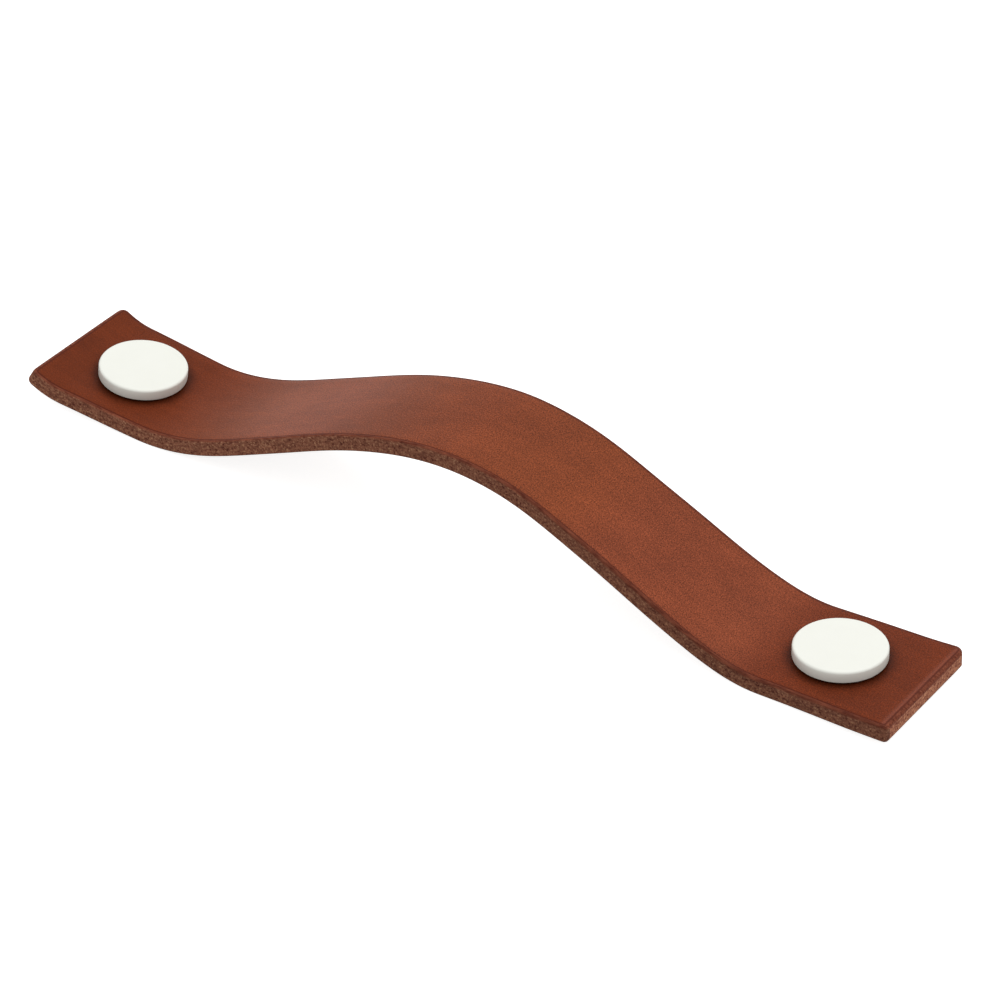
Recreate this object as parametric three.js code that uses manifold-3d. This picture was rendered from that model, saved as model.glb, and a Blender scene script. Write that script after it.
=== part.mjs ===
// A cabinet handle: a thick leather strap that rises in a low arch between two round white buttons.
// Millimetres and degrees, +Z up, +X along the strap, +Y across it. The handle lies on the two valleys
// of its strap, and the origin is the middle of its box, on the surface that it lies on.
import * as THREE from "three";
import { mergeVertices } from "three/addons/utils/BufferGeometryUtils.js";
import Module from "manifold-3d";

// Strap: the leather and its outline when it is laid flat
const STRAP_THICKNESS = 3.1;
const WAIST_WIDTH = 23.9; // across the crown of the arch
const END_WIDTH = 26.9; // across each end
const END_CORNER_RADIUS = 1.8; // corners of the outline, seen from above
const GRAIN_EDGE_RADIUS = 0.5; // bevelled upper edge
const BACK_EDGE_RADIUS = 0.3; // broken lower edge

// Left half of the wave, measured along the leather from the crown
const LEFT_CROWN_LENGTH = 33.8; // from the crown to the steepest slope
const LEFT_FLANK_LENGTH = 3.8; // straight stretch at the steepest slope
const LEFT_SLOPE_ANGLE = 20.8;
const LEFT_HOLE_DISTANCE = 76.0; // from the crown to the button's hole
const LEFT_END_MARGIN = 15.7; // from the hole to the end
const LEFT_SEAT_ANGLE = 8.1; // how much the flat seat climbs towards the end, before the wave is levelled
const LEFT_CURL_ANGLE = 25.9; // how much more the end itself has curled up, past the button's rim

// Right half of the wave
const RIGHT_CROWN_LENGTH = 30.3;
const RIGHT_FLANK_LENGTH = 12.5;
const RIGHT_SLOPE_ANGLE = 27.3;
const RIGHT_HOLE_DISTANCE = 75.2;
const RIGHT_END_MARGIN = 16.2;
const RIGHT_SEAT_ANGLE = -0.6;
const RIGHT_CURL_ANGLE = 1.9;

const BEND_SHARPENING = 1.36; // above 1, the bend tightens towards the button's rim

// Buttons: a low disc head with a shank that passes through the leather and takes a screw from behind
const BUTTON_DIAMETER = 16.0;
const HEAD_HEIGHT = 2.15;
const HEAD_TOP_RADIUS = 0.45;
const HEAD_FOOT_RADIUS = 0.25;
const SCREW_DIAMETER = 4.0;
const SCREW_PITCH = 0.7;
const SHANK_WALL = 2.0; // around the screw
const SHANK_SETBACK = 0.5; // the shank stops short of the strap's back, so the leather is clamped
const CAP_WALL = 0.8; // metal left over the point of the blind hole
const DRILL_POINT_SLOPE = 31.0; // of the cone at the bottom of the blind hole

// Clearances and how finely curves are divided
const FIT_CLEARANCE = 0.3; // between the leather and the button, round the shank and under the head
const STATION_STEP = 1.5; // along the leather
const CORNER_STEPS = 5; // round each corner of the outline
const EDGE_STEPS = 2; // round each long edge
const TURNED_SEGMENTS = 56; // round each button

const LEFT_HALF = {
  crown: LEFT_CROWN_LENGTH,
  flank: LEFT_FLANK_LENGTH,
  slope: LEFT_SLOPE_ANGLE,
  hole: LEFT_HOLE_DISTANCE,
  end: LEFT_HOLE_DISTANCE + LEFT_END_MARGIN,
  rise: LEFT_SEAT_ANGLE,
  curl: LEFT_CURL_ANGLE,
  side: -1,
};
const RIGHT_HALF = {
  crown: RIGHT_CROWN_LENGTH,
  flank: RIGHT_FLANK_LENGTH,
  slope: RIGHT_SLOPE_ANGLE,
  hole: RIGHT_HOLE_DISTANCE,
  end: RIGHT_HOLE_DISTANCE + RIGHT_END_MARGIN,
  rise: RIGHT_SEAT_ANGLE,
  curl: RIGHT_CURL_ANGLE,
  side: 1,
};

const shankRadius = SCREW_DIAMETER / 2 + SHANK_WALL;
const punchedRadius = shankRadius + FIT_CLEARANCE;
const radians = THREE.MathUtils.degToRad;

// Angle of the leather at a distance from the crown: it falls in a quarter sine to the slope, stays
// there along the flank, and turns up in a quarter cosine that ends at the button's rim. The seat is
// straight, and past the button's far rim the end curls up evenly.
function tangentAngle(half, distance) {
  const footStart = half.crown + half.flank;
  const seatStart = half.hole - BUTTON_DIAMETER / 2;
  if (distance <= half.crown) return -radians(half.slope) * Math.sin(((Math.PI / 2) * distance) / half.crown);
  if (distance <= footStart) return -radians(half.slope);
  if (distance >= seatStart) {
    const seatEnd = half.hole + BUTTON_DIAMETER / 2;
    const curled = Math.max(0, (distance - seatEnd) / (half.end - seatEnd));
    return radians(half.rise + half.curl * curled);
  }
  const along = ((distance - footStart) / (seatStart - footStart)) ** BEND_SHARPENING;
  return -radians(half.slope) + radians(half.slope + half.rise) * (1 - Math.cos((Math.PI / 2) * along));
}

// Middle of the leather's thickness at each distance, by summing small straight steps from the crown.
function centreLine(half, distances) {
  const STEPS = 16;
  let x = 0;
  let z = 0;
  let reached = 0;
  return distances.map((distance) => {
    const step = (distance - reached) / STEPS;
    for (let i = 0; i < STEPS; i++) {
      const angle = tangentAngle(half, reached + step * (i + 0.5));
      x += step * Math.cos(angle);
      z += step * Math.sin(angle);
    }
    reached = distance;
    return { distance, x, z, angle: tangentAngle(half, distance) };
  });
}

// Distances at which the strap gets a cross-section: even steps, then the rounded corners of the end.
function stationsOf(half) {
  const straightEnd = half.end - END_CORNER_RADIUS;
  const rim = BUTTON_DIAMETER / 2;
  const foot = half.crown + half.flank;
  const stops = [0, half.crown, foot, half.hole - rim, half.hole + rim, straightEnd];
  const distances = [0];
  for (let i = 1; i < stops.length; i++) {
    const count = Math.max(1, Math.ceil((stops[i] - stops[i - 1]) / STATION_STEP));
    for (let k = 1; k <= count; k++) distances.push(stops[i - 1] + ((stops[i] - stops[i - 1]) * k) / count);
  }
  for (let k = 1; k <= CORNER_STEPS; k++) {
    distances.push(straightEnd + END_CORNER_RADIUS * Math.sin(((Math.PI / 2) * k) / CORNER_STEPS));
  }
  return distances;
}

// How far a rounded edge of this radius has dropped where the end is this far away.
function roundedDrop(radius, toEnd) {
  const inside = Math.max(0, radius - toEnd);
  return radius - Math.sqrt(Math.max(0, radius * radius - inside * inside));
}

// Half of the strap's width: a shallow arc from the waist to the end, less the rounded corner.
function halfWidth(half, distance) {
  const width = WAIST_WIDTH + (END_WIDTH - WAIST_WIDTH) * (distance / half.end) ** 2;
  return width / 2 - roundedDrop(END_CORNER_RADIUS, half.end - distance);
}

// Section of the strap across its length, as pairs of (across, up), turning from +Y over the top.
function sectionAt(half, distance) {
  const toEnd = half.end - distance;
  const top = STRAP_THICKNESS / 2 - roundedDrop(GRAIN_EDGE_RADIUS, toEnd);
  const back = -STRAP_THICKNESS / 2 + roundedDrop(BACK_EDGE_RADIUS, toEnd);
  const side = halfWidth(half, distance);
  const points = [];
  const corner = (across, up, radius, firstAngle) => {
    for (let k = 0; k <= EDGE_STEPS; k++) {
      const angle = firstAngle + ((Math.PI / 2) * k) / EDGE_STEPS;
      points.push([across + radius * Math.cos(angle), up + radius * Math.sin(angle)]);
    }
  };
  corner(side - GRAIN_EDGE_RADIUS, top - GRAIN_EDGE_RADIUS, GRAIN_EDGE_RADIUS, 0);
  corner(-side + GRAIN_EDGE_RADIUS, top - GRAIN_EDGE_RADIUS, GRAIN_EDGE_RADIUS, Math.PI / 2);
  corner(-side + BACK_EDGE_RADIUS, back + BACK_EDGE_RADIUS, BACK_EDGE_RADIUS, Math.PI);
  corner(side - BACK_EDGE_RADIUS, back + BACK_EDGE_RADIUS, BACK_EDGE_RADIUS, (3 * Math.PI) / 2);
  return points;
}

// One cross-section stood up on the wave, in the frame of the crown.
function ringOf(half, station) {
  return sectionAt(half, station.distance).map(([across, up]) => [
    half.side * (station.x - up * Math.sin(station.angle)),
    across,
    station.z + up * Math.cos(station.angle),
  ]);
}

// All cross-sections from the left end to the right end.
function strapRings() {
  const left = centreLine(LEFT_HALF, stationsOf(LEFT_HALF)).map((station) => ringOf(LEFT_HALF, station));
  const right = centreLine(RIGHT_HALF, stationsOf(RIGHT_HALF)).map((station) => ringOf(RIGHT_HALF, station));
  return [...left.reverse(), ...right.slice(1)];
}

// Skin over the rings, closed by a fan at each end.
function loft(rings) {
  const around = rings[0].length;
  const positions = rings.flat(2);
  const triangles = [];
  for (let i = 0; i + 1 < rings.length; i++) {
    for (let k = 0; k < around; k++) {
      const a = i * around + k;
      const b = i * around + ((k + 1) % around);
      triangles.push(a, b, a + around, b, b + around, a + around);
    }
  }
  const last = (rings.length - 1) * around;
  for (let k = 1; k + 1 < around; k++) {
    triangles.push(0, k + 1, k);
    triangles.push(last, last + k, last + k + 1);
  }
  const geometry = new THREE.BufferGeometry();
  geometry.setAttribute("position", new THREE.Float32BufferAttribute(positions, 3));
  geometry.setIndex(triangles);
  return geometry;
}

// Place of a button's seat on the wave: its middle lies half-way through the leather.
function seatOf(half) {
  const [hole] = centreLine(half, [half.hole]);
  const seat = new THREE.Group();
  seat.position.set(half.side * hole.x, 0, hole.z);
  seat.rotation.y = -half.side * hole.angle;
  seat.updateMatrix();
  return seat;
}

const wasm = await Module();
wasm.setup();

function toSolid(geometry) {
  const bare = geometry.index ? geometry.toNonIndexed() : geometry.clone();
  bare.deleteAttribute("normal");
  bare.deleteAttribute("uv");
  const merged = mergeVertices(bare, 1e-4);
  return new wasm.Manifold(
    new wasm.Mesh({
      numProp: 3,
      vertProperties: merged.attributes.position.array,
      triVerts: new Uint32Array(merged.index.array),
    }),
  );
}

function toGeometry(solid) {
  const mesh = solid.getMesh();
  const geometry = new THREE.BufferGeometry();
  geometry.setAttribute("position", new THREE.BufferAttribute(mesh.vertProperties, 3));
  geometry.setIndex(new THREE.BufferAttribute(mesh.triVerts, 1));
  geometry.computeVertexNormals();
  return geometry;
}

// The strap with a round hole punched square through each seat.
function strapGeometry(rings, seats) {
  let strap = toSolid(loft(rings));
  for (const seat of seats) {
    const punch = new THREE.CylinderGeometry(punchedRadius, punchedRadius, STRAP_THICKNESS * 3, TURNED_SEGMENTS);
    punch.rotateX(Math.PI / 2);
    punch.applyMatrix4(seat.matrix);
    strap = strap.subtract(toSolid(punch));
  }
  return toGeometry(strap);
}

// Points of a quarter round from one angle, for a turned profile.
function quarterRound(centreR, centreZ, radius, firstAngle) {
  const STEPS = 3;
  return Array.from({ length: STEPS + 1 }, (_, k) => {
    const angle = firstAngle + ((Math.PI / 2) * k) / STEPS;
    return new THREE.Vector2(centreR + radius * Math.cos(angle), centreZ + radius * Math.sin(angle));
  });
}

// A button turned in one piece: the blind screw hole, the shank, then the head. Heights are measured
// from the middle of the leather.
function buttonGeometry() {
  const headRadius = BUTTON_DIAMETER / 2;
  const headBottom = STRAP_THICKNESS / 2 + FIT_CLEARANCE;
  const headTop = headBottom + HEAD_HEIGHT;
  const shankEnd = -STRAP_THICKNESS / 2 + SHANK_SETBACK;
  const boreRadius = (SCREW_DIAMETER - SCREW_PITCH) / 2;
  const drillTip = headTop - CAP_WALL;
  const boreEnd = drillTip - boreRadius * Math.tan(radians(DRILL_POINT_SLOPE));
  const profile = [
    new THREE.Vector2(0, drillTip),
    new THREE.Vector2(boreRadius, boreEnd),
    new THREE.Vector2(boreRadius, shankEnd),
    new THREE.Vector2(shankRadius, shankEnd),
    new THREE.Vector2(shankRadius, headBottom),
    ...quarterRound(headRadius - HEAD_FOOT_RADIUS, headBottom + HEAD_FOOT_RADIUS, HEAD_FOOT_RADIUS, -Math.PI / 2),
    ...quarterRound(headRadius - HEAD_TOP_RADIUS, headTop - HEAD_TOP_RADIUS, HEAD_TOP_RADIUS, 0),
    new THREE.Vector2(0, headTop),
  ];
  return new THREE.LatheGeometry(profile, TURNED_SEGMENTS).rotateX(Math.PI / 2);
}

// Tilt of the wave that brings the lowest point of each half to one height.
function levellingTilt(rings) {
  const points = rings.flat();
  let tilt = 0;
  for (let turn = 0; turn < 4; turn++) {
    const turned = points.map(([x, , z]) => ({
      x: x * Math.cos(tilt) - z * Math.sin(tilt),
      z: x * Math.sin(tilt) + z * Math.cos(tilt),
    }));
    const lowest = (list) => list.reduce((best, point) => (point.z < best.z ? point : best));
    const left = lowest(turned.filter((point) => point.x < 0));
    const right = lowest(turned.filter((point) => point.x > 0));
    tilt -= Math.atan2(right.z - left.z, right.x - left.x);
  }
  return tilt;
}

const leather = new THREE.MeshStandardMaterial({ color: 0x7a3a28, roughness: 0.75, metalness: 0 });
const whitePowderCoat = new THREE.MeshStandardMaterial({ color: 0xf4f4ec, roughness: 0.5, metalness: 0 });

function named(name, geometry, material) {
  const mesh = new THREE.Mesh(geometry, material);
  mesh.name = name;
  return mesh;
}

const rings = strapRings();
const leftSeat = seatOf(LEFT_HALF);
const rightSeat = seatOf(RIGHT_HALF);
leftSeat.add(named("left_button", buttonGeometry(), whitePowderCoat));
rightSeat.add(named("right_button", buttonGeometry(), whitePowderCoat));

const wave = new THREE.Group();
wave.add(named("leather_strap", strapGeometry(rings, [leftSeat, rightSeat]), leather));
wave.add(leftSeat, rightSeat);
wave.rotation.y = -levellingTilt(rings);
wave.updateMatrixWorld(true);

const box = new THREE.Box3().setFromObject(wave, true);
wave.position.set(-(box.min.x + box.max.x) / 2, 0, -box.min.z);

const handle = new THREE.Group();
handle.add(wave);
export default handle;
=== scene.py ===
# %% [markdown]
# # A leather strap handle with two white buttons
# The real object is one strip of thick vegetable-tanned leather, about 183 mm long when flat, that
# springs up between two flat white buttons. The solids of the frame hold its sizes. This file gives
# it its skin: the pebbled grain, the fibrous cut edge, the suede-like back and the coated buttons.
# Every new piece is worked out with numpy, in millimetres, and scaled to metres as it is made.

# %% Load the frame
import math

import bpy
import numpy as np
from mathutils import Matrix, Vector


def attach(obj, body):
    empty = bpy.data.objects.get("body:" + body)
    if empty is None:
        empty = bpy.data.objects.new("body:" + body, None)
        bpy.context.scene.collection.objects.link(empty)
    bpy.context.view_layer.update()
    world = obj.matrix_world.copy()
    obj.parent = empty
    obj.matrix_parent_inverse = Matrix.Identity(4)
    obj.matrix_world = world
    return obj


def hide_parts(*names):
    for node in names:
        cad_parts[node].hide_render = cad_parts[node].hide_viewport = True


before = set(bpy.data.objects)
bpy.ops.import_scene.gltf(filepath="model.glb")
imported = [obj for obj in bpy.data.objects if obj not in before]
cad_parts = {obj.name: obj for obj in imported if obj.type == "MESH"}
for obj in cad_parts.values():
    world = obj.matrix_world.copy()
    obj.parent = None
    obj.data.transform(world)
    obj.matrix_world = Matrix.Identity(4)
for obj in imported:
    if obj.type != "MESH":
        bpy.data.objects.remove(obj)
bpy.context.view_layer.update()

MM = 0.001

# %% [markdown]
# ## The wave of the leather
# Seen from the side, the strap falls away from its crown, runs straight down a flank, and turns up
# into a flat seat under each button. It could be traced with a curve object, but a formula for the
# angle of the leather keeps its length true: we add up small steps in the direction of that angle.

# %% Sizes of the strap, in mm and degrees
STRAP_THICKNESS = 3.1
WAIST_WIDTH = 23.9
END_WIDTH = 26.9
BUTTON_DIAMETER = 16.0
BEND_SHARPENING = 1.36
LEFT = dict(crown=33.8, flank=3.8, slope=20.8, hole=76.0, end=76.0 + 15.7, rise=8.1, curl=25.9)
RIGHT = dict(crown=30.3, flank=12.5, slope=27.3, hole=75.2, end=75.2 + 16.2, rise=-0.6, curl=1.9)
print("flat strap in mm:", round(LEFT["end"] + RIGHT["end"], 1), "by", END_WIDTH)


# %% The angle of the leather
def tangent_angle(distance, half):
    """Angle in radians at a distance from the crown along one half.

    In words: minus the slope times a quarter sine over the crown, then, along the foot, the sum of
    slope and rise times one minus a quarter cosine, which ends at the button's rim. Past the far
    rim, the end curls up evenly.
    """
    slope, rise = np.radians(half["slope"]), np.radians(half["rise"])
    foot_start = half["crown"] + half["flank"]
    foot_end = half["hole"] - BUTTON_DIAMETER / 2
    fall = -slope * np.sin(np.pi / 2 * np.minimum(distance / half["crown"], 1))
    along = np.clip((distance - foot_start) / (foot_end - foot_start), 0, 1) ** BEND_SHARPENING
    seat_end = half["hole"] + BUTTON_DIAMETER / 2
    curled = np.clip((distance - seat_end) / (half["end"] - seat_end), 0, 1)
    lift = (slope + rise) * (1 - np.cos(np.pi / 2 * along))
    return fall + lift + np.radians(half["curl"]) * curled


# %% The middle line, laid down on its two valleys
WAVE_SAMPLES = 6001
LEVELLING_ROUNDS = 4


def wave_line():
    """Distance, x, z and angle of the middle of the leather, from the left end to the right end.

    In words: x and z are the running sums of the cosine and the sine of the angle. The line is then
    turned until the lowest point of its back is as low on the left as on the right, and moved so
    that its box stands centred on the origin.
    """
    distance = np.linspace(-LEFT["end"], RIGHT["end"], WAVE_SAMPLES)
    angle = np.where(distance < 0, -tangent_angle(-distance, LEFT), tangent_angle(distance, RIGHT))
    step = np.diff(distance)
    for _ in range(LEVELLING_ROUNDS):
        middle = (angle[1:] + angle[:-1]) / 2
        x = np.concatenate([[0], np.cumsum(np.cos(middle) * step)])
        z = np.concatenate([[0], np.cumsum(np.sin(middle) * step)])
        back_x = x + STRAP_THICKNESS / 2 * np.sin(angle)
        back_z = z - STRAP_THICKNESS / 2 * np.cos(angle)
        low_left = np.argmin(np.where(distance < 0, back_z, np.inf))
        low_right = np.argmin(np.where(distance > 0, back_z, np.inf))
        angle = angle - math.atan2(
            back_z[low_right] - back_z[low_left], back_x[low_right] - back_x[low_left]
        )
    top_x = x - STRAP_THICKNESS / 2 * np.sin(angle)
    middle_x = (min(back_x.min(), top_x.min()) + max(back_x.max(), top_x.max())) / 2
    return distance, x - middle_x, z - back_z.min(), angle


WAVE = wave_line()
print("wave: crown", round(float(WAVE[2].max() + STRAP_THICKNESS / 2), 2), "mm high")


# %% From the flat strap to the bent one
def bent(flat):
    """Places flat points (distance along, across, height above the middle) on the wave.

    In words: the point of the middle line at that distance, plus the height along its normal.
    """
    distance, x, z, angle = WAVE
    along, across, height = np.asarray(flat, float).T
    turn = np.interp(along, distance, angle)
    return np.stack(
        [
            np.interp(along, distance, x) - height * np.sin(turn),
            across,
            np.interp(along, distance, z) + height * np.cos(turn),
        ],
        axis=-1,
    )


# %% [markdown]
# ## The outline and the edges
# A die cuts the strap, and a tool then breaks its edges. So the grain side rolls over a little
# towards every edge before it turns down, and the back is nearly square. The outline is a shallow
# arc from the waist to each end. A Bevel modifier could round the edges evenly, but these are not
# even: the corners look trimmed by hand, so each has its own radius, and small waves keep the long
# edges from looking machined. So the edges are part of the formula.

# %% Sizes of the edges, in mm
CORNER_RADIUS = 1.8
LEFT_CORNERS = dict(near=1.4, far=1.5)
RIGHT_CORNERS = dict(near=0.9, far=1.8)
GRAIN_EDGE_RADIUS = 0.5
BACK_EDGE_RADIUS = 0.3
ROLL_LENGTH = 1.5
LONG_ROLL_DROP = 0.07
END_ROLL_DROP = 0.25
SHORT_WOBBLE = dict(height=0.035, length=3.1)
LONG_WOBBLE = dict(height=0.03, length=7.7)
WOBBLE_FADE = 4.0


# %% How the outline and the grain side fall away
def rounded_drop(radius, to_end):
    """How far a quarter circle has dropped at this distance from its end."""
    inside = np.clip(radius - to_end, 0, radius)
    return radius - np.sqrt(radius**2 - inside**2)


def rolled_drop(to_edge, depth):
    """How far the grain side has rolled over: the depth times the square of the way through."""
    return depth * np.clip(1 - to_edge / ROLL_LENGTH, 0, 1) ** 2


def to_end(along):
    """Distance to the nearer end, and the share of that half that has been covered."""
    half_length = np.where(along < 0, LEFT["end"], RIGHT["end"])
    return half_length - np.abs(along), np.abs(along) / half_length


def half_width(along, side):
    """Distance from the middle to the near or the far edge.

    In words: half of the waist, widening with the square of the share, less the rounded corner of
    that side, plus two small waves that stop short of the corners.
    """
    left_over, share = to_end(along)
    width = WAIST_WIDTH + (END_WIDTH - WAIST_WIDTH) * share**2
    phase = 0.0 if side == "near" else 2.0
    wobble = SHORT_WOBBLE["height"] * np.sin(along / SHORT_WOBBLE["length"] + phase)
    wobble += LONG_WOBBLE["height"] * np.sin(along / LONG_WOBBLE["length"] + 1 + 2 * phase)
    calm = np.clip((left_over - CORNER_RADIUS) / WOBBLE_FADE, 0, 1)
    radius = np.where(along < 0, LEFT_CORNERS[side], RIGHT_CORNERS[side])
    return width / 2 - rounded_drop(radius, left_over) + wobble * calm


# %% Where the cross-sections go
GRID_STEP = 0.62
HOLE_BLOCK = 6.5
CORNER_STATIONS = 9


def stations():
    """Distances of the cross-sections: even steps between fixed stops, closer at the corners."""
    stops = [-LEFT["end"] + CORNER_RADIUS, -LEFT["hole"] - HOLE_BLOCK, -LEFT["hole"] + HOLE_BLOCK]
    stops += [RIGHT["hole"] - HOLE_BLOCK, RIGHT["hole"] + HOLE_BLOCK, RIGHT["end"] - CORNER_RADIUS]
    runs = [
        np.linspace(a, b, math.ceil((b - a) / GRID_STEP), endpoint=False)
        for a, b in zip(stops, stops[1:])
    ]
    quarter = np.linspace(0, np.pi / 2, CORNER_STATIONS)
    left = -LEFT["end"] + CORNER_RADIUS * (1 - np.sin(quarter[:0:-1]))
    right = RIGHT["end"] - CORNER_RADIUS * (1 - np.sin(quarter))
    return np.concatenate([left, *runs, right])


# %% The groove of the edging tool
CREASE_INSET = 0.16
CREASE_WIDTH = 0.1
CREASE_DEPTH = 0.05


def crease_drop(to_edge):
    """The groove of the edging tool: a cosine bell beside every long edge."""
    across = np.clip((to_edge - CREASE_INSET) / CREASE_WIDTH, -1, 1)
    return CREASE_DEPTH * (1 + np.cos(np.pi * across)) / 2


# %% One ring round the strap at every station
FACE_LINES = 7
ARC_LINES = 5
MIDDLE_LINES = 37
MIDDLE_INSET = 0.4
EDGE_LINES = np.array([0.0, 0.08, 0.16, 0.24, 0.32, 0.5, 0.75, 1.05])


def strap_rings(along):
    """Flat points of all rings, and the zone of each: 0 grain, 1 cut edge, 2 back.

    In words: each ring runs across the grain from +Y to -Y, round a quarter circle, down the cut
    edge, round a smaller quarter circle, back across the underside, and up the far edge.
    """
    near, far = half_width(along, "near")[:, None], half_width(along, "far")[:, None]
    left_over = to_end(along)[0][:, None]
    end_fall = rolled_drop(left_over, END_ROLL_DROP) + rounded_drop(GRAIN_EDGE_RADIUS, left_over)
    top = STRAP_THICKNESS / 2 - end_fall
    back = -STRAP_THICKNESS / 2 + rounded_drop(BACK_EDGE_RADIUS, left_over)
    inset = GRAIN_EDGE_RADIUS + EDGE_LINES
    share = np.linspace(0, 1, MIDDLE_LINES)
    middle_inset = inset[-1] + MIDDLE_INSET
    middle = (far - middle_inset) * (1 - share) - (near - middle_inset) * share
    across_top = np.concatenate([far - inset, middle, inset[::-1] - near], axis=1)
    to_side = np.minimum(far - across_top, near + across_top) - GRAIN_EDGE_RADIUS
    grain_height = top - rolled_drop(to_side, LONG_ROLL_DROP) - crease_drop(to_side)
    edge_top = top - LONG_ROLL_DROP - GRAIN_EDGE_RADIUS
    down = np.linspace(0, 1, FACE_LINES + 2)[1:-1]
    quarter = np.linspace(0, np.pi / 2, ARC_LINES + 1)
    arc, back_arc = quarter[1:], quarter[:-1]
    drop_in = np.concatenate(
        [GRAIN_EDGE_RADIUS * (1 - np.sin(arc)), 0 * down, BACK_EDGE_RADIUS * (1 - np.cos(back_arc))]
    )
    grain_down = edge_top + GRAIN_EDGE_RADIUS * np.cos(arc)
    face_height = edge_top + (back + BACK_EDGE_RADIUS - edge_top) * down
    back_down = back + BACK_EDGE_RADIUS - BACK_EDGE_RADIUS * np.sin(back_arc)
    side_height = np.concatenate([grain_down, face_height, back_down], axis=1)
    back_height = back + 0 * across_top
    across = np.concatenate(
        [across_top, drop_in - near, across_top[:, ::-1], (far - drop_in)[:, ::-1]], axis=1
    )
    height = np.concatenate(
        [grain_height, side_height, back_height, side_height[:, ::-1]], axis=1
    )
    lines, chain = across_top.shape[1], len(drop_in)
    cut = np.ones(chain, int)
    cut[chain - ARC_LINES + 2 :] = 2
    zones = np.concatenate([np.zeros(lines, int), cut, np.full(lines, 2), cut[::-1]])
    flat = np.stack([along[:, None] + 0 * across, across, height], axis=-1)
    return flat, zones, lines, chain


ALONG = stations()
RINGS, RING_ZONES, TOP_LINES, CHAIN = strap_rings(ALONG)
print("strap rings:", RINGS.shape[0], "with", RINGS.shape[1], "points each")

# %% [markdown]
# ## The punched holes
# Each button's shank passes through a round hole. A Boolean modifier would cut it, but it leaves
# long thin faces that shade badly. Instead we leave a square window out of the grid, on the grain
# and on the back, and fill it with rings that turn from the square into the circle, run down the
# wall of the hole, and open into the square again.

# %% Sizes of the holes, in mm
SHANK_RADIUS = 4.0
FIT_CLEARANCE = 0.3
PUNCHED_RADIUS = SHANK_RADIUS + FIT_CLEARANCE
RIM_ROUND = 0.18
print("punched holes in mm:", 2 * PUNCHED_RADIUS, "across")


# %% The window in the grid
def window(hole):
    """First and last station, and first and last line of the grain, of the window round a hole."""
    first = int(np.argmin(np.abs(ALONG - (hole - HOLE_BLOCK))))
    last = int(np.argmin(np.abs(ALONG - (hole + HOLE_BLOCK))))
    across = RINGS[(first + last) // 2, :TOP_LINES, 1]
    line_first = int(np.argmin(np.abs(across - HOLE_BLOCK)))
    line_last = TOP_LINES - 1 - line_first
    return first, last, line_first, line_last


def window_border(first, last, line_first, line_last, on_back):
    """Point numbers round the window, anticlockwise seen from above, starting at its +Y side."""
    station = np.concatenate(
        [
            np.arange(last, first, -1),
            np.full(line_last - line_first, first),
            np.arange(first, last),
            np.full(line_last - line_first, last),
        ]
    )
    line = np.concatenate(
        [
            np.full(last - first, line_first),
            np.arange(line_first, line_last),
            np.full(last - first, line_last),
            np.arange(line_last, line_first, -1),
        ]
    )
    if on_back:
        line = TOP_LINES + CHAIN + (TOP_LINES - 1 - line)
    return station * RINGS.shape[1] + line


# %% The rings of one hole
def hole_rings(border_top, border_back, hole):
    """Flat points of the rings between the two borders of a window, and the zone of each.

    In words: a share of the way from the border towards the point of the circle at the same angle,
    a small round at the rim, steps down the wall, and the same outwards again on the back.
    """
    turn = np.arctan2(border_top[:, 1], border_top[:, 0] - hole)
    circle = np.stack([np.cos(turn), np.sin(turn)], axis=-1)
    half = STRAP_THICKNESS / 2
    shares = np.linspace(0, 1, 7)[1:]
    rim = np.linspace(0, np.pi / 2, 4)[1:]
    wall = np.linspace(half - RIM_ROUND, -half + RIM_ROUND, 7)[1:-1]
    rim_radius = PUNCHED_RADIUS + RIM_ROUND * (1 - np.sin(rim))
    radius = np.concatenate([rim_radius, np.full(len(wall), PUNCHED_RADIUS)])
    height = np.concatenate([half - RIM_ROUND + RIM_ROUND * np.cos(rim), wall])
    radius = np.concatenate([radius, radius[2::-1]])
    height = np.concatenate([height, -height[2::-1]])
    rings, zones = [], []
    for border, level in ((border_top, half), (border_back, -half)):
        inner = np.array([hole, 0]) + circle * (PUNCHED_RADIUS + RIM_ROUND)
        part = border[None, :, :2] + shares[:, None, None] * (inner - border[:, :2])
        part = np.concatenate([part, np.full(part.shape[:2] + (1,), level)], axis=-1)
        rings.append(part)
    walls = np.array([hole, 0]) + radius[:, None, None] * circle
    levels = np.broadcast_to(height[:, None, None], walls.shape[:2] + (1,))
    walls = np.concatenate([walls, levels], axis=-1)
    zones = [0] * len(shares) + [1] * len(walls) + [2] * len(shares)
    return np.concatenate([rings[0], walls, rings[1][::-1]]), np.array(zones)


# %% [markdown]
# ## The two end faces
# The last ring of the strap is a rounded rectangle. A single many-sided face could close it, but it
# would take no bump and no bulge, so each end gets a small grid between the ring's four sides.

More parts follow.
